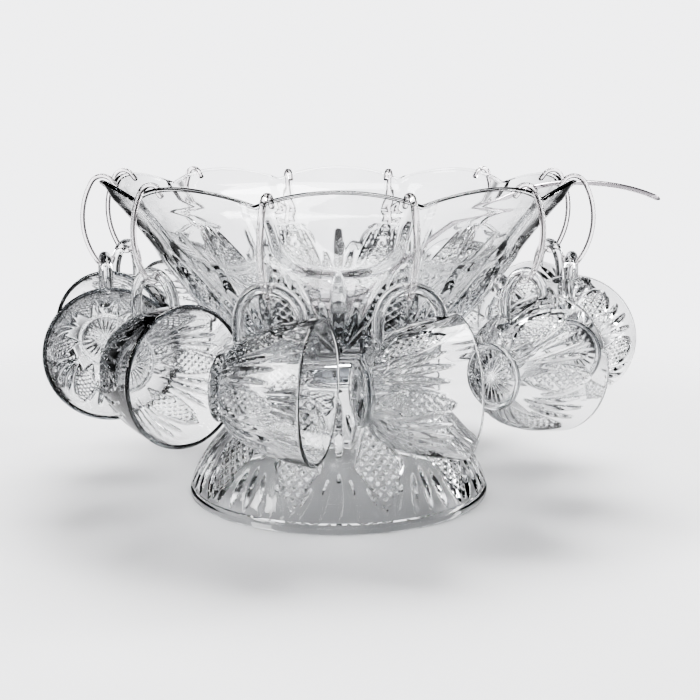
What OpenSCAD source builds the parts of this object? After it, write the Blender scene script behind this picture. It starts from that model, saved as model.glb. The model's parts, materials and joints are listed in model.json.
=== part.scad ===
// Pressed-glass punch bowl on a bell-shaped stand, with cups hung round the rim on S-hooks
// and a ladle lying in the bowl. Millimetres, +Z up, origin under the centre of the stand.
// Azimuths run counterclockwise seen from above and start at the front, which is -Y.

/* [Stand] */
// Diameter of the ring that the stand rests on
stand_d = 212; // [200:1:224]
// Height of the seat that carries the bowl
seat_h = 96; // [88:1:104]
// Thickness of the stand's glass
stand_wall = 5; // [4:0.5:6]

/* [Bowl] */
// Diameter over the crests of the rim
bowl_d = 325; // [315:1:335]
// Height of the bowl, from its foot to the crests of the rim
bowl_h = 126; // [120:1:132]
// How far the rim dips between two lobes
lobe_h = 9; // [5:0.5:10]
// Number of lobes round the rim
lobe_count = 10; // [10:2:10]
// Diameter of the bowl's foot ring
bowl_foot_d = 90; // [86:1:90]

/* [Cups] */
// Number of cups and hooks
cup_count = 12; // [12:1:12]
// Outer diameter of a cup's mouth
cup_d = 88; // [80:1:90]
// Height of a cup, from foot to mouth
cup_h = 62; // [58:1:64]
// Distance from a cup's axis to the middle of its grip
grip_reach = 60; // [58:0.5:62]
// Thickness of a cup's handle
grip_d = 7.2; // [6.4:0.2:7.4]

/* [Hooks] */
// Thickness of the plastic in a hook
hook_t = 3; // [2.6:0.1:3.2]
// Width of a hook
hook_w = 4; // [3:0.5:5]
// Drop from the pivot on the rim to the middle of the lower loop
hook_drop = 45; // [43:1:48]

/* [Ladle] */
// Outer diameter of the ladle's bowl
ladle_d = 64; // [56:1:66]
// Width of the ladle's handle
ladle_w = 9; // [7:0.5:9]
// Thickness of the ladle's handle
ladle_t = 3.5; // [3:0.1:3.6]

/* [Hidden] */
$fn = 64;

rim_top = seat_h + bowl_h;
rim_r = bowl_d / 2;
rim_wall = 5;            // radial thickness of the bowl's rim
lobe_step = 360 / lobe_count;
notch_r = rim_r - 5;     // radius at which the lobes have their stated shape

foot_r = bowl_foot_d / 2;
collar_gap = 1;          // room round the bowl's foot in the collar
collar_h = 5;            // height of the collar above the seat
collar_t = 5;
seat_t = 10;             // thickness of the stand's top plate

cup_step = 360 / cup_count;
cup_first = cup_step / 2;      // azimuth of the first cup
cup_wall = 2.8;
cup_foot_r = 20.5;
grip_h = cup_h / 2;            // height of the grip's middle above the cup's foot
grip_r = grip_d / 2;
ear_r = 19;                    // radius of the handle's bend

rim_lean = 8 / 14;       // how far the rim leans out for each millimetre of height
rim_flare_h = 14;        // height of the leaning part

saddle_r = 6.5;                // inner radius of the hook's bend over the rim
saddle_gap = 0.8;              // room between the hook and the top of the rim
bend_start = 30;               // angles that the bend runs between, from outward
bend_end = 140;
hook_leg = 6;                  // straight end of the hook inside the bowl
loop_gap = 0.3;                // room round the grip in the lower loop
loop_end = -190;
hook_step = 0.15;              // the straight parts stand back from the round faces by this

ladle_x = -10;                 // where the ladle's bowl lies
ladle_wall = 2;
ladle_depth = 26;
ladle_gap = 0.4;               // room between the ladle and what it rests on

function two(n) = n < 10 ? str("0", n) : str(n);
function cup_name(i) = str("cup_", two(i));
function hook_name(i) = str("hook_", two(i));

// Curves
function bezier(p, t) = len(p) == 1 ? p[0]
    : bezier([for (i = [0:len(p) - 2]) (1 - t) * p[i] + t * p[i + 1]], t);
function curve(p, steps) = [for (i = [0:steps]) bezier(p, i / steps)];
function arc(c, r, a0, a1, steps) =
    [for (i = [0:steps]) let (a = a0 + (a1 - a0) * i / steps) c + r * [cos(a), sin(a)]];
// Two curves that meet, with their shared point once
function join(p, q) = concat(p, [for (i = [1:len(q) - 1]) q[i]]);
function reversed(p) = [for (i = [len(p) - 1:-1:0]) p[i]];
function unit(v) = v / norm(v);
function heading(p, i) = unit(p[min(i + 1, len(p) - 1)] - p[max(i - 1, 0)]);
function beside(p, d) = [for (i = [0:len(p) - 1]) p[i] + d * [-heading(p, i)[1], heading(p, i)[0]]];
function ribbon(p, w) = concat(beside(p, w / 2), reversed(beside(p, -w / 2)));

// Rim height above the table at an azimuth: each lobe is a parabola, with a cusp at either side
function lobe_offset(a) = let (r = a - lobe_step * round(a / lobe_step)) abs(r) / (lobe_step / 2);
function rim_z(a) = rim_top - lobe_h * pow(lobe_offset(a), 2);
function cup_azimuth(i) = cup_first + (i - 1) * cup_step;
// Highest point of the rim under the width of a hook
function saddle_z(a) = let (half = hook_w / 2 / notch_r * 180 / PI) max(rim_z(a - half), rim_z(a + half));
// Middle of the rim's glass at a height
function rim_mid_r(z) = rim_r - rim_wall / 2 - rim_lean * (rim_top - z);

// Local frame at an azimuth: outward is -Y and the counterclockwise direction is +X
module at_azimuth(a) rotate([0, 0, a]) children();
// Stands a shape upright: its x is then the outward distance and its y the height
module upright() rotate([0, 0, -90]) rotate([90, 0, 0]) children();

module pedestal_base() {
    r0 = stand_d / 2;
    collar_in = foot_r + collar_gap;
    collar_out = collar_in + collar_t;
    waist = [foot_r + 1, seat_h - 16];
    outside = join(
        curve([[r0, 4], [r0 - 6, 30], [r0 - 30, 50], waist], 12),
        curve([waist, [foot_r - 4, seat_h - 9], [collar_out, seat_h - 4]], 5));
    inside = concat(
        [[0, seat_h - seat_t], [foot_r - 8, seat_h - seat_t]],
        reversed(curve([[r0 - stand_wall, 0], [r0 - stand_wall - 6, 28],
                        [r0 - stand_wall - 31, 46], [foot_r - 4, seat_h - 20]], 10)));
    color([0.86, 0.89, 0.90, 0.6])
    rotate_extrude() polygon(concat(
        [[r0, 0]], outside,
        [[collar_out, seat_h + collar_h], [collar_in, seat_h + collar_h], [collar_in, seat_h], [0, seat_h]],
        inside));
}

module bowl_body() {
    foot_h = 4;
    recess_r = foot_r - 8;
    recess_h = 3;
    shoulder = [rim_r - rim_lean * rim_flare_h, rim_top - rim_flare_h];
    foot = [[recess_r, seat_h], [foot_r, seat_h], [foot_r, seat_h + foot_h]];
    outside = curve([[foot_r - 3, seat_h + 7], [foot_r + 47, seat_h + 10],
                     [rim_r - 50, rim_top - 60], shoulder], 16);
    inside = curve([[0, seat_h + 13], [foot_r + 39, seat_h + 12],
                    [rim_r - 56, rim_top - 60], shoulder - [rim_wall, 0]], 16);
    rotate_extrude() polygon(concat(
        foot, outside, [[rim_r, rim_top], [rim_r - rim_wall, rim_top]],
        reversed(inside), [[0, seat_h + recess_h], [recess_r, seat_h + recess_h]]));
}

// The glass between two lobes, from one crest to the next, that the rim doesn't have
module rim_notch() {
    steps = 12;
    crest_cut = 0.3;
    edge = [for (i = [0:steps]) let (a = lobe_step * (i / steps - 0.5))
        [notch_r * sin(a), rim_z(lobe_step / 2 + a) + (i == 0 || i == steps ? crest_cut : 0)]];
    rotate([90, 0, 0]) translate([0, 0, rim_r - 40]) linear_extrude(50)
        polygon(concat(edge, [[notch_r * sin(lobe_step / 2), rim_top + 2],
                              [-notch_r * sin(lobe_step / 2), rim_top + 2]]));
}

module bowl() {
    color([0.88, 0.91, 0.92, 0.6])
    difference() {
        bowl_body();
        for (k = [0:lobe_count - 1]) at_azimuth(lobe_step * (k + 0.5)) rim_notch();
    }
}

// Pivot of a hook on the rim, as distance from the axis and height
function pivot(a) = [rim_mid_r(saddle_z(a)), saddle_z(a) + saddle_gap - saddle_r];
// Middle of the grip that hangs in the hook's loop
function grip_at(a) = pivot(a) - [0, hook_drop];

// Three arcs, each tangent to the next: over the rim, down the stem and round the grip. The two
// small ones are bored out, so that their inner faces are truly round.
module hook(i) {
    a = cup_azimuth(i);
    loop_r = grip_r + loop_gap;
    bend_r = saddle_r + hook_t / 2;
    turn_r = loop_r + hook_t / 2;
    wide = bend_r - turn_r;
    reach = (pow(hook_drop, 2) - pow(wide, 2)) / (2 * wide + 2 * hook_drop * sin(bend_start));
    stem_r = bend_r + reach;
    stem_at = -reach * [cos(bend_start), sin(bend_start)];
    stem_end = -acos(reach * cos(bend_start) / (stem_r - turn_r));
    loop_at = [0, -hook_drop];
    leg = hook_leg * [-sin(bend_end), cos(bend_end)];
    leg_in = (saddle_r + hook_step) * [cos(bend_end), sin(bend_end)];
    outer = concat(
        [(saddle_r + hook_t) * [cos(bend_end), sin(bend_end)] + leg],
        arc([0, 0], saddle_r + hook_t, bend_end, bend_start, 12),
        arc(stem_at, stem_r + hook_t / 2, bend_start - 4, stem_end + 4, 10),
        arc(loop_at, loop_r + hook_t, stem_end, loop_end, 18));
    inner = concat(
        arc(loop_at, loop_r - 0.5, loop_end, stem_end, 12),
        arc(stem_at, stem_r - hook_t / 2 + hook_step, stem_end, bend_start, 10),
        arc([0, 0], saddle_r - 0.5, bend_start, bend_end, 10),
        [leg_in, leg_in + leg]);
    color([0.93, 0.88, 0.89, 0.6])
    at_azimuth(a) upright() translate(pivot(a)) difference() {
        linear_extrude(hook_w, center = true) polygon(concat(outer, inner));
        cylinder(h = 2 * hook_w, r = saddle_r, center = true);
        translate(loop_at) cylinder(h = 2 * hook_w, r = loop_r, center = true);
    }
}

// A cup standing on its foot with its handle towards -X
module standing_cup() {
    mouth_r = cup_d / 2;
    outside = concat(
        [[0, 0], [cup_foot_r, 0], [cup_foot_r, 3.5]],
        curve([[cup_foot_r - 3.5, 6], [mouth_r - 10, 8], [mouth_r - 5, cup_h / 2], [mouth_r, cup_h]], 10));
    inside = curve([[0, 9], [mouth_r - 16, 8], [mouth_r - 9, cup_h / 2], [mouth_r - cup_wall, cup_h]], 9);
    hollow = concat(inside, [[mouth_r - cup_wall, cup_h + 1], [0, cup_h + 1]]);
    arm_end = cup_foot_r + 3;
    difference() {
        union() {
            rotate_extrude() polygon(concat(outside, [[0, cup_h]]));
            translate([ear_r - grip_reach, 0, grip_h]) {
                rotate([90, 0, 0]) rotate([0, 0, 90]) rotate_extrude(angle = 180)
                    translate([ear_r, 0]) circle(grip_r, $fn = 32);
                translate([0, 0, -ear_r]) rotate([0, 90, 0])
                    cylinder(h = grip_reach - ear_r - arm_end, r = grip_r, $fn = 32);
            }
        }
        rotate_extrude() polygon(hollow);
    }
}

module cup(i) {
    a = cup_azimuth(i);
    color([0.90, 0.92, 0.93, 0.6])
    at_azimuth(a) translate([0, -grip_at(a)[0], grip_at(a)[1] - grip_reach])
        rotate([0, 90, 0]) translate([0, 0, -grip_h]) standing_cup();
}

module ladle() {
    floor_z = seat_h + 13 + ladle_gap;
    ball = ladle_d / 2;
    cusp_z = rim_z(lobe_step / 2 - ladle_w / 2 / notch_r * 180 / PI) + ladle_gap + ladle_t / 2;
    over_rim = [rim_r - 8, cusp_z + 0.5];
    path = join(
        curve([[ladle_x + ball - 3, floor_z + ladle_depth - 4], [60, rim_top - 44],
               [110, cusp_z - 1.5], over_rim], 14),
        curve([over_rim, [rim_r + 18, cusp_z + 1.7], [rim_r + 42, cusp_z - 2],
               [rim_r + 60, cusp_z - 11]], 8));
    function shell(r) = arc([0, ball], r, -90, asin((ladle_depth - ball) / r), 9);
    inside = shell(ball - ladle_wall);
    color([0.93, 0.90, 0.91, 0.6])
    difference() {
        union() {
            translate([ladle_x, 0, floor_z])
                rotate_extrude() polygon(concat(shell(ball), [[0, ladle_depth]]));
            rotate([90, 0, 0]) linear_extrude(ladle_w, center = true) polygon(ribbon(path, ladle_t));
        }
        translate([ladle_x, 0, floor_z]) rotate_extrude()
            polygon(concat(inside, [[inside[9][0], ladle_depth + 0.5], [0, ladle_depth + 0.5]]));
    }
}

pedestal_base();
bowl();
ladle();
for (i = [1:cup_count]) hook(i);
for (i = [1:cup_count]) cup(i);
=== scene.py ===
"""Looks of a pressed-glass punch bowl on its stand, with twelve cups on clear hooks and a ladle.

Shapes are worked out in millimetres and placed in the frame's metres. Local frames at the rim have
+X counterclockwise along the rim (seen from above), -Y outward and +Z up.
"""

import json
import math

import bpy
import numpy as np
from mathutils import Matrix, Vector


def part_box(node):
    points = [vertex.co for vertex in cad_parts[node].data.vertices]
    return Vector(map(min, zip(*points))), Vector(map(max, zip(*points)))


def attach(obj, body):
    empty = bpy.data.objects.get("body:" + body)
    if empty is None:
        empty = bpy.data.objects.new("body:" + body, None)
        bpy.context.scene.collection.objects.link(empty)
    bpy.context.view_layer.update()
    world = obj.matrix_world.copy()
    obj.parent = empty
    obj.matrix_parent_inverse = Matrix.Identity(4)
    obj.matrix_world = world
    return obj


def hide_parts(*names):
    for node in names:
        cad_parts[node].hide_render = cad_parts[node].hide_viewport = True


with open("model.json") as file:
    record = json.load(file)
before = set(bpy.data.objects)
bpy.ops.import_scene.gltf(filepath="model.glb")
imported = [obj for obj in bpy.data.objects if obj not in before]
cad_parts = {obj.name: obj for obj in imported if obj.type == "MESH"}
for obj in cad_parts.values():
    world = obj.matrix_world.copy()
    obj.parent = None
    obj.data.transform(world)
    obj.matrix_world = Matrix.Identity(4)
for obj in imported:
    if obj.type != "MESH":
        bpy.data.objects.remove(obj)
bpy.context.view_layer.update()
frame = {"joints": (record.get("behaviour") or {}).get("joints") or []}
MM = 0.001

# ---- sizes, in millimetres, from the frame ----
_, STAND_HIGH = [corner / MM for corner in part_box("pedestal_base")]
BOWL_LOW, BOWL_HIGH = [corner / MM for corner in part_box("bowl")]
STAND_R = STAND_HIGH.x
COLLAR_TOP = STAND_HIGH.z
SEAT = BOWL_LOW.z
RIM_TOP = BOWL_HIGH.z
RIM_R = -BOWL_LOW.y
RIM_WALL = 5.0
FLARE_H, FLARE_LEAN = 14, 8  # height of the rim's straight flare, and how far it leans outward
FOOT_R = 45.0
RECESS_R = 12  # innermost ring of the flat faces under the bowl and in the stand

LOBES = 10
LOBE_STEP = 360 / LOBES
LOBE_DIP = 9.0

CUP_R = 44.0
CUP_H = 62.0
CUP_FOOT_R = 20.5
CUP_WALL = 2.8
GRIP_REACH = 60.0
GRIP_R = 3.6
GRIP_H = CUP_H / 2

HOOK_DROP = 45.0
HOOK_T = 3.0
HOOK_W = 4.0
HOOK_TIP = 6  # straight end inside the bowl
SADDLE_R = 6.5
LOOP_R = GRIP_R + 0.3
BEND_START, BEND_END, LOOP_END = 30, 140, -190  # degrees

LADLE_X = -10.0
LADLE_R = 32.0
LADLE_WALL = 2.0
LADLE_DEPTH = 26.0
LADLE_W = 9.0
LADLE_T = 3.5

# ---- the cutting, in millimetres ----
BOWL_CUT, SCOOP_CUT = 2.6, 1.3
STAND_CUT, BEAD_CUT = 2.6, 1.2
CUP_CUT, STAR_CUT = 1.5, 0.9
CUT_ROW, CUP_ROW = 1.25, 1.0  # distance between the rings of points that carry the cutting
BOWL_COLUMNS, STAND_COLUMNS, CUP_COLUMNS, LADLE_COLUMNS = 600, 720, 300, 128

# Each ray of a fan: its slant in degrees, the heights that it runs between and half its width.
BOWL_RAYS = [
    (0, 56, 116, 4.4), (20, 66, 110, 3.6), (10.5, 40, 86, 3.0), (0, 14, 52, 2.8),
    (25, 36, 64, 2.0)]
STAND_SHORT_RAYS = [(0, 5, 36, 3.2), (13, 5, 32, 3.0), (26, 5, 26, 2.8)]
STAND_LONG_RAYS = [(0, 42, 92, 3.2), (14, 52, 88, 2.4)]
CUP_RAYS = [(0, 6, 50, 2.2), (9, 10, 48, 1.8), (18, 14, 46, 1.6)]

CREASE = math.radians(40)


# ---- curves and grids ----
def bezier(points, count):
    """Points along the Bezier curve that has these control points."""
    t = np.linspace(0, 1, count)[:, None]
    n = len(points) - 1
    return sum(
        math.comb(n, k) * (1 - t) ** (n - k) * t**k * np.array(p, float)
        for k, p in enumerate(points)
    )


def arc(centre, radius, start, end, count):
    """Points on a circle from one angle to another, in degrees."""
    a = np.radians(np.linspace(start, end, count))
    return np.array(centre, float) + radius * np.stack([np.cos(a), np.sin(a)], 1)


def join(*curves):
    """Curves that meet, with each shared point once."""
    return np.vstack([curves[0], *[c[1:] for c in curves[1:]]])


def arc_length(points):
    """Distance along the line at each of its points."""
    gaps = np.linalg.norm(np.diff(points, axis=0), axis=1)
    return np.concatenate([[0], np.cumsum(gaps)])


def resample(points, spacing):
    """The same line with evenly spaced points about that far apart."""
    along = arc_length(points)
    even = np.linspace(0, along[-1], max(2, int(round(along[-1] / spacing)) + 1))
    return np.stack([np.interp(even, along, points[:, k]) for k in range(points.shape[1])], 1)


def outward(points):
    """Unit normals of a profile of radius and height that runs up the outside."""
    d = np.gradient(points, axis=0)
    d /= np.linalg.norm(d, axis=1)[:, None]
    return np.stack([d[:, 1], -d[:, 0]], 1)


def from_nearest(angle, step):
    """Signed distance from the nearest multiple of step."""
    return angle - step * np.round(angle / step)


def azimuths(columns):
    """Evenly spaced angles round the axis, in degrees from the front."""
    return np.arange(columns) * 360 / columns


def around(profile, columns):
    """Radius and height of a profile, repeated for each column."""
    return np.repeat(profile[:, :1], columns, 1), np.repeat(profile[:, 1:], columns, 1)


def stack_rings(*parts):
    """Radius and height of a lathe shape from those of its parts, in order."""
    return np.vstack([r for r, _ in parts]), np.vstack([z for _, z in parts])


# ---- cut patterns: depth from 0 to 1 over a surface measured in millimetres ----
def vee(x, half):
    """A V groove along x = 0."""
    return np.clip(1 - np.abs(x) / half, 0, None)


def mitre(x, y, half, reach):
    """A V groove along x = 0 that narrows to a point at y = -reach and y = reach."""
    width = np.sqrt(np.clip(1 - (y / reach) ** 2, 0, None))
    return np.clip(width - np.abs(x) / half, 0, None)


def crosshatch(x, y, pitch):
    """Small pyramids left between two sets of slanting V grooves."""
    u, v = (x + y) / pitch, (x - y) / pitch
    return np.maximum(1 - 2 * np.abs(from_nearest(u, 1)), 1 - 2 * np.abs(from_nearest(v, 1)))


def panel_cut(x, y, low, high, widest, pitch, border, roundness):
    """A panel pointed at both ends, filled with crosshatch inside a border groove. Its sides are
    straight at roundness 0, which makes a diamond, and bulge as it rises."""
    t = np.clip((y - low) / (high - low), 0, 1)
    straight = 1 - np.abs(2 * t - 1)
    inside = widest * straight ** (1 / (1 + roundness)) - np.abs(x)
    inside = np.where((t > 0) & (t < 1), inside, -border)
    hatch = np.where(inside > border, crosshatch(x, y, pitch), 0)
    return np.maximum(0.85 * hatch, vee(inside - border / 2, border / 2))


def ray_fan(x, y, origin, rays):
    """Long mitres that spread from a point at height origin, on both sides of x = 0."""
    depth = np.zeros_like(x * y)
    for slant, low, high, half in rays:
        lean = math.tan(math.radians(slant))
        for side in (-1, 1) if slant else (1,):
            off = x - side * lean * (y - origin)
            depth = np.maximum(depth, mitre(off, y - (low + high) / 2, half, (high - low) / 2))
    return depth


# ---- meshes ----
def mesh_object(name, points, faces):
    mesh = bpy.data.meshes.new(name)
    mesh.from_pydata((np.asarray(points) * MM).tolist(), [], faces)
    mesh.validate()
    mesh.update()
    obj = bpy.data.objects.new(name, mesh)
    bpy.context.scene.collection.objects.link(obj)
    return obj


def grid_faces(rows, columns):
    """Quads between neighbouring rings of points."""
    i = np.arange(rows - 1)[:, None] * columns
    j = np.arange(columns)[None, :]
    k = (j + 1) % columns
    quads = np.stack([i + j, i + k, i + columns + k, i + columns + j], -1)
    return quads.reshape(-1, 4).tolist()


def closed_faces(rows, columns):
    """Faces of a tube whose end rings close to two points, which follow the rings' points."""
    faces = grid_faces(rows, columns)
    first, last, top = rows * columns, rows * columns + 1, (rows - 1) * columns
    for j in range(columns):
        k = (j + 1) % columns
        faces.append([first, k, j])
        faces.append([last, top + j, top + k])
    return faces


def lathe(name, radius, height, angles, start_z, end_z):
    """A closed mesh of rings. Radius and height hold a row for each ring and a column for each
    angle; the first and last ring close to points on the axis."""
    rows, columns = radius.shape
    a = np.radians(angles)[None, :]
    rings = np.stack([radius * np.sin(a), -radius * np.cos(a), height], -1).reshape(-1, 3)
    points = np.vstack([rings, [[0, 0, start_z], [0, 0, end_z]]])
    return mesh_object(name, points, closed_faces(rows, columns))


def sweep(name, path, side, half_side, half_up, sections, square=1.0):
    """A closed tube along a path. Side is the direction of half_side at every point, and half_up
    is square to it; square under 1 makes the section boxier. Rounded ends come from the half
    widths."""
    path = np.asarray(path, float)
    side = np.array(side, float)
    along = np.gradient(path, axis=0)
    along /= np.linalg.norm(along, axis=1)[:, None]
    up = np.cross(along, side)
    up /= np.linalg.norm(up, axis=1)[:, None]
    a = np.linspace(0, 2 * math.pi, sections, endpoint=False)
    c = np.sign(np.cos(a)) * np.abs(np.cos(a)) ** square
    s = np.sign(np.sin(a)) * np.abs(np.sin(a)) ** square
    rings = (
        path[:, None, :]
        + side[None, None, :] * (c[None, :] * half_side[:, None])[..., None]
        + up[:, None, :] * (s[None, :] * half_up[:, None])[..., None]
    )
    points = np.vstack([rings.reshape(-1, 3), path[:1], path[-1:]])
    return mesh_object(name, points, closed_faces(len(path), sections))


def rounded_ends(path, half, at_start=True):
    """A share of the full width at each point, which closes the ends as half circles."""
    along = arc_length(path)
    share = np.ones(len(path))
    for gap in [along, along[-1] - along] if at_start else [along[-1] - along]:
        near = np.clip(gap / half, 0, 1)
        share *= np.sqrt(np.clip(1 - (1 - near) ** 2, 0.0016, 1))
    return share


def face_outward(obj):
    """Turns the mesh's faces outward."""
    mesh = obj.data
    co = np.array([v.co for v in mesh.vertices])
    mesh.calc_loop_triangles()
    tri = np.array([t.vertices for t in mesh.loop_triangles])
    a, b, c = co[tri[:, 0]], co[tri[:, 1]], co[tri[:, 2]]
    if np.einsum("ij,ij->i", a, np.cross(b, c)).sum() < 0:
        mesh.flip_normals()
    return obj


def unite(obj, other):
    """Joins two closed meshes into one closed mesh."""
    modifier = obj.modifiers.new("union", "BOOLEAN")
    modifier.operation = "UNION"
    modifier.solver = "MANIFOLD"
    modifier.object = other
    dg = bpy.context.evaluated_depsgraph_get()
    merged = bpy.data.meshes.new_from_object(obj.evaluated_get(dg))
    obj.modifiers.clear()
    obj.data = merged
    bpy.data.objects.remove(other)
    return obj


def smooth(obj):
    """Smooth shading that stays crisp at edges sharper than the crease angle."""
    obj.data.shade_smooth()
    obj.data.set_sharp_from_angle(angle=CREASE)
    return obj


# ---- materials ----
NOISE_SPAN = (0.3, 0.7)  # what a noise texture mostly stays between


def new_material(name):
    material = bpy.data.materials.new(name)
    material.use_nodes = True
    nodes = material.node_tree.nodes
    return material, nodes, material.node_tree.links, nodes["Principled BSDF"]


def add_noise(nodes, links, scale, detail):
    noise = nodes.new("ShaderNodeTexNoise")
    noise.inputs["Scale"].default_value = scale
    noise.inputs["Detail"].default_value = detail
    coordinates = nodes.new("ShaderNodeTexCoord")
    links.new(coordinates.outputs["Object"], noise.inputs["Vector"])
    return noise.outputs["Fac"]


def remap(nodes, links, value, source, target, interpolation="LINEAR"):
    """The value, spread from one range over another."""
    node = nodes.new("ShaderNodeMapRange")
    node.interpolation_type = interpolation
    node.inputs["From Min"].default_value, node.inputs["From Max"].default_value = source
    node.inputs["To Min"].default_value, node.inputs["To Max"].default_value = target
    links.new(value, node.inputs["Value"])
    return node.outputs["Result"]


def mix_colours(nodes, links, blend, a, b, factor=1.0):
    """A blend of two colours; each of a, b and factor is an output or a constant."""
    node = nodes.new("ShaderNodeMix")
    node.data_type = "RGBA"
    node.blend_type = blend
    for name, value in (("Factor", factor), ("A", a), ("B", b)):
        if isinstance(value, bpy.types.NodeSocket):
            links.new(value, node.inputs[name])
        else:
            node.inputs[name].default_value = value
    return node.outputs["Result"]


def clear_material(name, colour, ior, roughness, wave_scale, wave_height, absorption, density):
    """Clear glass or plastic: faint flow waves in the surface and a finish that varies a little."""
    material, nodes, links, shader = new_material(name)
    shader.inputs["Base Color"].default_value = (*colour, 1)
    shader.inputs["Transmission Weight"].default_value = 1.0
    shader.inputs["IOR"].default_value = ior
    finish = remap(nodes, links, add_noise(nodes, links, 55, 3), NOISE_SPAN, roughness)
    links.new(finish, shader.inputs["Roughness"])
    waves = add_noise(nodes, links, wave_scale, 1)
    bump = nodes.new("ShaderNodeBump")
    bump.inputs["Strength"].default_value = 1.0
    bump.inputs["Distance"].default_value = wave_height
    links.new(waves, bump.inputs["Height"])
    links.new(bump.outputs["Normal"], shader.inputs["Normal"])
    volume = nodes.new("ShaderNodeVolumeAbsorption")
    volume.inputs["Color"].default_value = (*absorption, 1)
    volume.inputs["Density"].default_value = density
    links.new(volume.outputs["Volume"], nodes["Material Output"].inputs["Volume"])
    return material


def floor_material(colour, near, far):
    """Pale paper: very slightly mottled, and fading into the pale room away from the object."""
    material, nodes, links, shader = new_material("pale_floor")
    shader.inputs["Roughness"].default_value = 0.75
    shader.inputs["Specular IOR Level"].default_value = 0.25
    mottle = remap(nodes, links, add_noise(nodes, links, 9, 4), (0.0, 1.0), (0.97, 1.0))
    tint = mix_colours(nodes, links, "MULTIPLY", (*colour, 1), mottle)
    links.new(tint, shader.inputs["Base Color"])
    coordinates = nodes.new("ShaderNodeTexCoord")
    distance = nodes.new("ShaderNodeVectorMath")
    distance.operation = "LENGTH"
    links.new(coordinates.outputs["Object"], distance.inputs[0])
    fade = remap(nodes, links, distance.outputs["Value"], (near, far), (0.0, 1.0), "SMOOTHSTEP")
    clear = nodes.new("ShaderNodeBsdfTransparent")
    blend = nodes.new("ShaderNodeMixShader")
    links.new(fade, blend.inputs["Fac"])
    links.new(shader.outputs["BSDF"], blend.inputs[1])
    links.new(clear.outputs["BSDF"], blend.inputs[2])
    links.new(blend.outputs["Shader"], nodes["Material Output"].inputs["Surface"])
    return material


# ---- the bowl ----
def rim_height(angles):
    """Height of the rim at each angle: every lobe is a parabola between two cusps."""
    off = np.abs(from_nearest(angles, LOBE_STEP)) / (LOBE_STEP / 2)
    return RIM_TOP - LOBE_DIP * off**2


def on_profile(points, z):
    """Radius of a rising profile at a height."""
    return np.interp(z, points[:, 1], points[:, 0])


def across_lobes(angle, radius):
    """Distances round the wall from the middle of the nearest lobe and from the nearest cusp."""
    lobe = np.radians(from_nearest(angle, LOBE_STEP)) * radius
    cusp = np.radians(from_nearest(angle - LOBE_STEP / 2, LOBE_STEP)) * radius
    return lobe, cusp


def bowl_cut(angle, radius, s):
    """Depth of the cutting, from 0 to 1, at a distance s up the wall from the foot: a fan under
    each lobe and a pointed panel of crosshatch under each cusp."""
    lobe, cusp = across_lobes(angle, radius)
    fan = ray_fan(lobe, s, 26, BOWL_RAYS)
    return np.maximum(fan, panel_cut(cusp, s, 10, 116, 11.5, 8.0, 2.8, 0.8))


def panel_scoop(angle, s, low, full):
    """A wide shallow scoop under each lobe, with a round lower end and a crisp edge."""
    across = np.abs(from_nearest(angle, LOBE_STEP) / 16.6) ** 3
    down = np.clip((full - s) / (full - low), 0, None) ** 2
    return np.clip(3.0 * (1 - across - down), 0, 1)


def make_bowl():
    angles = azimuths(BOWL_COLUMNS)
    shoulder = np.array((RIM_R - FLARE_LEAN, RIM_TOP - FLARE_H))
    belly = (RIM_R - 50, RIM_TOP - 60)
    wall = bezier([(FOOT_R - 3, SEAT + 7), (FOOT_R + 47, SEAT + 10), belly, shoulder], 200)
    outer = join(wall, bezier([shoulder, (RIM_R, RIM_TOP)], 20))
    inner_shoulder = shoulder - (RIM_WALL, 0)
    inner_belly = (belly[0] - RIM_WALL - 1, belly[1])
    inner_wall = bezier([(0, SEAT + 13), (FOOT_R + 39, SEAT + 12), inner_belly, inner_shoulder], 200)
    inner = join(inner_wall, bezier([inner_shoulder, (RIM_R - RIM_WALL, RIM_TOP)], 20))

    top = rim_height(angles)[None, :]
    lip = RIM_WALL / 2 * 0.92
    lip_start = top - lip * 0.8
    split = SEAT + 58.0  # level rings below, rings that follow the lobes above
    cut_rows = resample(wall[wall[:, 1] <= split], CUT_ROW)
    share = np.linspace(0, 1, 34)[1:, None]
    upper_z = cut_rows[-1, 1] + share * (lip_start - cut_rows[-1, 1])
    r, z = stack_rings(around(cut_rows, BOWL_COLUMNS), (on_profile(outer, upper_z), upper_z))

    length = arc_length(outer)
    normals = outward(outer)
    s, nr, nz = (np.interp(z, outer[:, 1], values) for values in (length, *normals.T))
    depth = BOWL_CUT * bowl_cut(angles[None, :], r, s)
    depth = np.maximum(depth, SCOOP_CUT * panel_scoop(angles[None, :], s, 108, 130))
    outside = (r - depth * nr, z - depth * nz)

    lip_angles = np.radians(np.linspace(20, 160, 7))[:, None]
    mid_r = (on_profile(outer, top) + on_profile(inner, top)) / 2
    rim = (mid_r + lip * np.cos(lip_angles), top - lip + lip * np.sin(lip_angles))

    inner_low = resample(inner[inner[:, 1] <= split], 5)[1:]
    inner_share = np.linspace(1, 0, 14)[:, None]
    inner_z = inner_low[-1, 1] + inner_share[:-1] * (lip_start - inner_low[-1, 1])
    inside = (on_profile(inner, inner_z), inner_z)

    foot = np.array([
        (RECESS_R, SEAT + 3), (FOOT_R - 9.5, SEAT + 3), (FOOT_R - 8, SEAT + 1.5),
        (FOOT_R - 7.6, SEAT + 0.3), (FOOT_R - 7, SEAT), (FOOT_R - 1, SEAT),
        (FOOT_R - 0.3, SEAT + 0.3), (FOOT_R, SEAT + 1), (FOOT_R, SEAT + 3.2),
        (FOOT_R - 0.6, SEAT + 4), (FOOT_R - 2.4, SEAT + 5.2)])
    r, z = stack_rings(around(foot, BOWL_COLUMNS), outside, rim, inside,
                       around(inner_low[::-1], BOWL_COLUMNS))
    return lathe("bowl_glass", r, z, angles, SEAT + 3, SEAT + 13)


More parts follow.
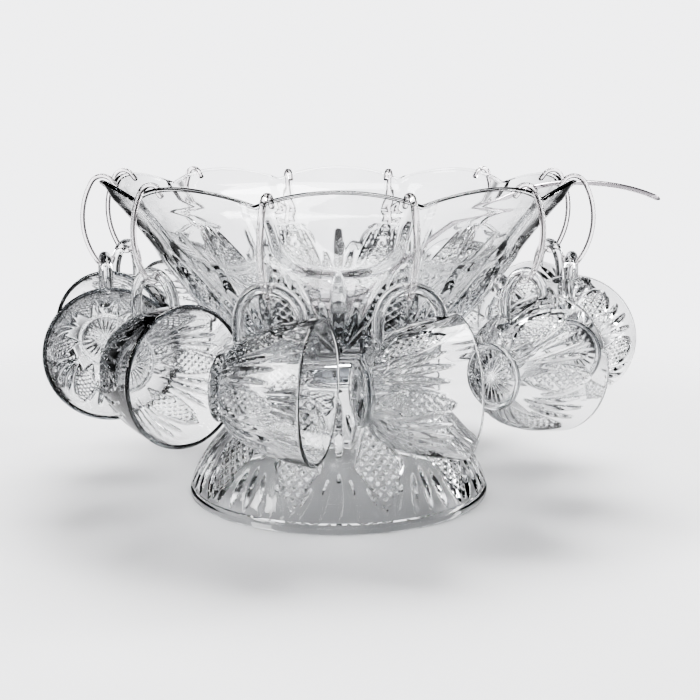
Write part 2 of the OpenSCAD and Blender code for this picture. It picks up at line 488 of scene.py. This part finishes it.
# ---- the stand ----
def stand_cut(angle, radius, s):
    """Depth of the cutting at a distance s up the bell from its rim: a fine groove by the rim, and
    diamonds of crosshatch with short rays between them below and long ones above."""
    lobe, cusp = across_lobes(angle, radius)
    rays = ray_fan(lobe, s, 62, STAND_SHORT_RAYS)
    rays = np.maximum(rays, ray_fan(lobe, s, 20, STAND_LONG_RAYS))
    rays = np.maximum(rays, 0.6 * vee(s - 2.0, 1.8))
    return np.maximum(rays, panel_cut(cusp, s, 7, 74, 17.5, 7.5, 2.6, 0.15))


def make_stand():
    angles = azimuths(STAND_COLUMNS)
    waist = (FOOT_R + 1, SEAT - 16)
    collar_in = FOOT_R + 1
    collar_out = collar_in + 5
    bell = bezier([(STAND_R, 4), (STAND_R - 6, 30), (STAND_R - 30, 50), waist], 200)
    neck = bezier([waist, (FOOT_R - 4, SEAT - 9), (collar_out, SEAT - 4)], 60)
    outer = join(bell, neck)
    rows = resample(outer, CUT_ROW)
    s = arc_length(rows)[:, None]
    normals = outward(rows)
    r, z = around(rows, STAND_COLUMNS)
    depth = STAND_CUT * stand_cut(angles[None, :], r, s)
    beads = np.clip(np.cos(np.radians(angles * LOBES * 3)), 0, 1)[None, :]
    bead_band = np.clip(1 - np.abs(s - s[-1, 0] + 4) / 4, 0, 1)
    depth = np.maximum(depth, BEAD_CUT * (1 - beads) * bead_band)
    outside = (r - depth * normals[:, :1], z - depth * normals[:, 1:])
    foot = np.array([
        (STAND_R - 4.6, 0.0), (STAND_R - 1, 0.0), (STAND_R - 0.3, 0.3), (STAND_R, 1),
        (STAND_R, 2.5)])
    collar = np.array([
        (collar_out, SEAT + 3.4), (collar_out - 0.4, SEAT + 4.5), (collar_out - 1.5, COLLAR_TOP),
        (collar_in + 1.5, COLLAR_TOP), (collar_in + 0.4, SEAT + 4.5), (collar_in, SEAT + 3.4),
        (collar_in, SEAT + 0.2), (collar_in - 1.2, SEAT), (RECESS_R, SEAT)])
    ceiling = [(RECESS_R, SEAT - 10), (FOOT_R - 10, SEAT - 10), (FOOT_R - 8.5, SEAT - 11)]
    inside = bezier([
        (STAND_R - 5, 0), (STAND_R - 11, 28), (STAND_R - 36, 46), (FOOT_R - 4, SEAT - 20)], 26)
    tail = np.vstack([ceiling, inside[::-1], foot])
    r, z = stack_rings(around(tail, STAND_COLUMNS), outside, around(collar, STAND_COLUMNS))
    return lathe("stand_glass", r, z, angles, SEAT - 10, SEAT)


# ---- the cups ----
def cup_cut(angle, radius, s):
    """Depth of the cutting at a distance s up the cup's wall; the handle is at angle 0."""
    fan_at = np.radians(from_nearest(angle, 60)) * radius
    panel_at = np.radians(from_nearest(angle - 30, 60)) * radius
    fan = ray_fan(fan_at, s, -6, CUP_RAYS)
    return np.maximum(fan, panel_cut(panel_at, s, 3, 50, 9.0, 5.2, 2.0, 0.5))


def make_cup():
    angles = azimuths(CUP_COLUMNS)
    outer = bezier([
        (CUP_FOOT_R - 3.5, 6), (CUP_R - 10, 8), (CUP_R - 5, CUP_H / 2), (CUP_R, CUP_H)], 200)
    rows = resample(outer[outer[:, 1] < CUP_H - 1.6], CUP_ROW)
    s = arc_length(rows)[:, None]
    normals = outward(rows)
    r, z = around(rows, CUP_COLUMNS)
    depth = CUP_CUT * cup_cut(angles[None, :], r, s)
    outside = (r - depth * normals[:, :1], z - depth * normals[:, 1:])
    lip = CUP_WALL / 2
    edge = arc((CUP_R - lip - 0.2, CUP_H - lip), lip, 0, 180, 9)
    inner = bezier([(0, 9), (CUP_R - 16, 8), (CUP_R - 9, CUP_H / 2), (CUP_R - CUP_WALL, CUP_H)], 24)
    inner = inner[(inner[:, 1] < CUP_H - 2) & (inner[:, 0] > 2)]
    top = np.vstack([edge, inner[::-1]])
    # A star of V cuts under the foot, deepest halfway out
    under = 0.8
    star_r = np.linspace(3, CUP_FOOT_R - 3, 8)[:, None]
    star = vee(from_nearest(angles[None, :], 15), 7.5) * np.sin(np.linspace(0, math.pi, 8))[:, None]
    underside = (np.repeat(star_r, CUP_COLUMNS, 1), under + STAR_CUT * star)
    foot = np.array([
        (CUP_FOOT_R - 2, 0.1), (CUP_FOOT_R - 1, 0), (CUP_FOOT_R - 0.3, 0.4), (CUP_FOOT_R, 1.2),
        (CUP_FOOT_R, 2.6), (CUP_FOOT_R - 0.5, 3.5), (CUP_FOOT_R - 2, 4.4)])
    r, z = stack_rings(underside, around(foot, CUP_COLUMNS), outside, around(top, CUP_COLUMNS))
    cup = unite(lathe("cup_glass", r, z, angles, under, 9), make_cup_handle())
    # The cup is modelled standing with its handle towards the front, and hangs on its side.
    hang = Matrix(((0, 0, 1, -GRIP_H), (-1, 0, 0, 0), (0, -1, 0, -GRIP_REACH), (0, 0, 0, 1)))
    hang.translation *= MM
    cup.data.transform(hang)
    return cup


def make_cup_handle():
    """The ear handle, from the wall below the mouth out to the grip and back to the foot."""
    bend = [
        bezier([(-41.0, 51), (-50.5, 51.5), (-GRIP_REACH, 43), (-GRIP_REACH, GRIP_H)], 16),
        bezier([(-GRIP_REACH, GRIP_H), (-GRIP_REACH, 19), (-51, 13), (-40, 12.5)], 16),
        bezier([(-40, 12.5), (-34, 12.3), (-29, 12.6), (-24.3, 13)], 10),
    ]
    line = resample(join(*bend), 1.2)
    path = np.stack([np.zeros(len(line)), line[:, 0], line[:, 1]], 1)
    half = np.full(len(path), GRIP_R)
    return face_outward(sweep("cup_handle", path, (1, 0, 0), half, half, 28))


# ---- hooks and ladle ----
def make_hook():
    """Three arcs, each tangent to the next: over the rim, down a bulging stem and round the grip."""
    bend_r = SADDLE_R + HOOK_T / 2
    turn_r = LOOP_R + HOOK_T / 2
    wide = bend_r - turn_r
    start = math.radians(BEND_START)
    reach = (HOOK_DROP**2 - wide**2) / (2 * wide + 2 * HOOK_DROP * math.sin(start))
    stem_r = bend_r + reach
    stem_end = -math.degrees(math.acos(reach * math.cos(start) / (stem_r - turn_r)))
    stem_at = (-reach * math.cos(start), -reach * math.sin(start))
    bend = arc((0, 0), bend_r, BEND_END, BEND_START, 30)
    end = math.radians(BEND_END)
    tip = bend[0] + HOOK_TIP * np.array([-math.sin(end), math.cos(end)])
    stem = arc(stem_at, stem_r, BEND_START, stem_end, 60)
    turn = arc((0, -HOOK_DROP), turn_r, stem_end, LOOP_END, 40)
    line = resample(join([tip, bend[0]], bend, stem, turn), 0.8)
    path = np.stack([np.zeros(len(line)), -line[:, 0], line[:, 1]], 1)
    share = rounded_ends(path, HOOK_T / 2)
    hook = sweep("hook_plastic", path, (1, 0, 0), share * HOOK_W / 2, share * HOOK_T / 2, 20, 0.7)
    return face_outward(hook)


def make_ladle():
    """A round bowl resting on the punch bowl's floor, and a handle that lies over a cusp of the
    rim towards +X."""
    floor_z = SEAT + 13.4
    edge_angle = LOBE_STEP / 2 - math.degrees(LADLE_W / 2 / (RIM_R - RIM_WALL))
    handle_z = float(rim_height(np.array([edge_angle]))[0])
    handle_z += 0.4 + LADLE_T / 2
    root = (LADLE_X + LADLE_R - 3, floor_z + LADLE_DEPTH - 4)
    over = (RIM_R - FLARE_LEAN, handle_z + 0.5)
    rise = bezier([root, (60, RIM_TOP - 44), (110, handle_z - 1.5), over], 60)
    beyond = bezier([
        over, (RIM_R + 18, handle_z + 1.7), (RIM_R + 42, handle_z - 2),
        (RIM_R + 60, handle_z - 11)], 40)
    line = resample(join(rise, beyond), 2.0)
    path = np.stack([line[:, 0], np.zeros(len(line)), line[:, 1]], 1)
    share = rounded_ends(path, LADLE_W / 2, at_start=False)
    along = arc_length(path) / arc_length(path)[-1]
    width = LADLE_W / 2 * (0.72 + 0.28 * along) * share
    thick = LADLE_T / 2 * np.clip(share, 0.25, 1)
    handle = face_outward(sweep("ladle_handle", path, (0, 1, 0), width, thick, 20, 0.75))
    inner_r = LADLE_R - LADLE_WALL
    lip_drop = LADLE_DEPTH - 1 - LADLE_R
    outer_end = math.degrees(math.asin(lip_drop / LADLE_R))
    inner_end = math.degrees(math.asin(lip_drop / inner_r))
    outside = arc((0, LADLE_R), LADLE_R, -86, outer_end, 30)
    inside = arc((0, LADLE_R), inner_r, inner_end, -86, 26)
    centre = (outside[-1] + inside[0]) / 2
    lip = arc(centre, LADLE_WALL / 2, -8, 188, 9)
    profile = np.vstack([outside, lip, inside])
    profile[:, 1] += floor_z
    r, z = around(profile, LADLE_COLUMNS)
    shell = lathe("ladle_plastic", r, z, azimuths(LADLE_COLUMNS), floor_z, floor_z + LADLE_WALL)
    shell.data.transform(Matrix.Translation(Vector((LADLE_X, 0, 0)) * MM))
    return unite(face_outward(shell), handle)


# ---- placing ----
def finish_piece(obj, material, body, node):
    """Gives a piece its material, parents it to the body it rides on and hides its CAD node."""
    obj.data.materials.clear()
    obj.data.materials.append(material)
    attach(obj, body)
    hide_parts(node)


def place_at_joints(master, kind, material, slot):
    """One piece for each hook or cup, in the local frame of its own joint."""
    for joint in frame["joints"]:
        body = joint["child"]
        if not body.startswith(kind + "_"):
            continue
        x, y, _ = joint["pos_m"]
        piece = bpy.data.objects.new(body + "_" + slot.split("_")[1], master.data.copy())
        bpy.context.scene.collection.objects.link(piece)
        turn = Matrix.Rotation(math.atan2(x, -y), 4, "Z")
        piece.data.transform(Matrix.Translation(Vector(joint["pos_m"])) @ turn)
        finish_piece(piece, material, body, body)
    bpy.data.objects.remove(master)


# ---- studio ----
ROOM = (1.9, 1.9, 1.95, 1)
# Shade of the room at each |sin 2a| of the azimuth a, and at each height of the view direction
FLAG_STOPS = [(0.0, 1.0), (0.32, 1.0), (0.50, 0.45), (0.62, 0.03), (0.94, 0.03), (1.0, 0.2)]
HEIGHT_STOPS = [(0.0, 1.0), (0.16, 1.0), (0.30, 0.03), (0.72, 0.03), (0.86, 0.5), (1.0, 0.5)]


def make_floor():
    bpy.ops.mesh.primitive_circle_add(vertices=96, radius=0.8, fill_type="NGON")
    floor = bpy.context.object
    floor.name = "floor"
    floor.data.materials.append(floor_material((0.83, 0.83, 0.84), 0.22, 0.75))


def shade_ramp(nodes, links, value, stops):
    """A grey for each value between 0 and 1, from pairs of position and shade."""
    node = nodes.new("ShaderNodeValToRGB")
    ramp = node.color_ramp
    ramp.elements[0].position, ramp.elements[1].position = stops[0][0], stops[-1][0]
    for stop in stops[1:-1]:
        ramp.elements.new(stop[0])
    for element, (_, shade) in zip(ramp.elements, stops):
        element.color = (shade, shade, shade, 1)
    links.new(value, node.inputs["Fac"])
    return node.outputs["Color"]


def combine(nodes, links, operation, a, b=None):
    """Maths on one or two outputs; b may be a number."""
    node = nodes.new("ShaderNodeMath")
    node.operation = operation
    for socket, value in zip(node.inputs, (a, b)):
        if isinstance(value, (int, float)):
            socket.default_value = value
        elif value is not None:
            links.new(value, socket)
    return node.outputs["Value"]


def make_world():
    """An evenly pale room that the camera sees, with dark flags overhead and between its four
    sides that only the glass sees, and draws its dark lines from."""
    world = bpy.data.worlds.new("studio")
    bpy.context.scene.world = world
    world.use_nodes = True
    nodes, links = world.node_tree.nodes, world.node_tree.links
    coordinates = nodes.new("ShaderNodeTexCoord")
    split = nodes.new("ShaderNodeSeparateXYZ")
    links.new(coordinates.outputs["Generated"], split.inputs["Vector"])
    x, y, z = split.outputs
    # |sin 2a| is 0 towards each side of the room and 1 towards its corners
    corner = combine(nodes, links, "ABSOLUTE", combine(nodes, links, "MULTIPLY", x, y))
    level = combine(nodes, links, "SUBTRACT", 1.0, combine(nodes, links, "MULTIPLY", z, z))
    corner = combine(nodes, links, "MULTIPLY", combine(nodes, links, "DIVIDE", corner, level), 2.0)
    flags = shade_ramp(nodes, links, corner, FLAG_STOPS)
    heights = shade_ramp(nodes, links, z, HEIGHT_STOPS)
    shade = mix_colours(nodes, links, "MULTIPLY", flags, heights)
    room = mix_colours(nodes, links, "MULTIPLY", shade, ROOM)
    rays = nodes.new("ShaderNodeLightPath")
    seen = mix_colours(nodes, links, "MIX", room, ROOM, rays.outputs["Is Camera Ray"])
    links.new(seen, nodes["Background"].inputs["Color"])
    nodes["Background"].inputs["Strength"].default_value = 1.0


def aim(obj, place, target):
    """Puts a lamp or camera at a place, turned to the target."""
    obj.location = place
    obj.rotation_euler = (Vector(target) - obj.location).to_track_quat("-Z", "Y").to_euler()


def area_light(name, place, width, height, power):
    light = bpy.data.lights.new(name, "AREA")
    light.shape = "RECTANGLE"
    light.size, light.size_y = width, height
    light.energy = power
    lamp = bpy.data.objects.new(name, light)
    bpy.context.scene.collection.objects.link(lamp)
    aim(lamp, place, (0, 0, 0.12))


def make_lights():
    area_light("overhead_softbox", (0.1, 0.25, 1.5), 1.1, 0.8, 34)
    area_light("left_softbox", (-1.3, -0.7, 0.9), 0.5, 0.9, 20)
    area_light("right_strip", (1.3, 0.3, 0.6), 0.2, 0.9, 12)


def make_camera():
    """The picture's viewpoint: close to the table's edge, a little above the rim."""
    camera = bpy.data.cameras.new("camera")
    camera.lens = 63
    obj = bpy.data.objects.new("camera", camera)
    bpy.context.scene.collection.objects.link(obj)
    aim(obj, (0.0, -0.85, 0.265), (0.008, 0, 0.1))
    bpy.context.scene.camera = obj
    bpy.context.scene.view_settings.look = "AgX - High Contrast"


make_camera()
make_floor()
make_world()
make_lights()

GLASS = dict(colour=(1.0, 1.0, 1.0), ior=1.52, roughness=(0.0, 0.02), wave_scale=22,
             wave_height=0.00012, absorption=(0.62, 0.64, 0.66), density=32.0)
PLASTIC = dict(colour=(1.0, 0.985, 0.985), ior=1.47, roughness=(0.01, 0.05), wave_scale=70,
               wave_height=0.00005, absorption=(0.86, 0.74, 0.77), density=30.0)
SMOKY_PLASTIC = PLASTIC | dict(absorption=(0.62, 0.60, 0.62), density=260.0)
bowl_glass = clear_material("bowl_glass", **GLASS)
stand_glass = clear_material("stand_glass", **GLASS)
cup_glass = clear_material("cup_glass", **GLASS)
hook_plastic = clear_material("hook_plastic", **PLASTIC)
ladle_plastic = clear_material("ladle_plastic", **SMOKY_PLASTIC)

bowl = face_outward(make_bowl())
finish_piece(smooth(bowl), bowl_glass, "bowl", "bowl")
stand = face_outward(make_stand())
finish_piece(smooth(stand), stand_glass, "stand", "pedestal_base")
finish_piece(smooth(make_ladle()), ladle_plastic, "ladle", "ladle")
place_at_joints(smooth(make_hook()), "hook", hook_plastic, "hook_plastic")
place_at_joints(smooth(make_cup()), "cup", cup_glass, "cup_glass")
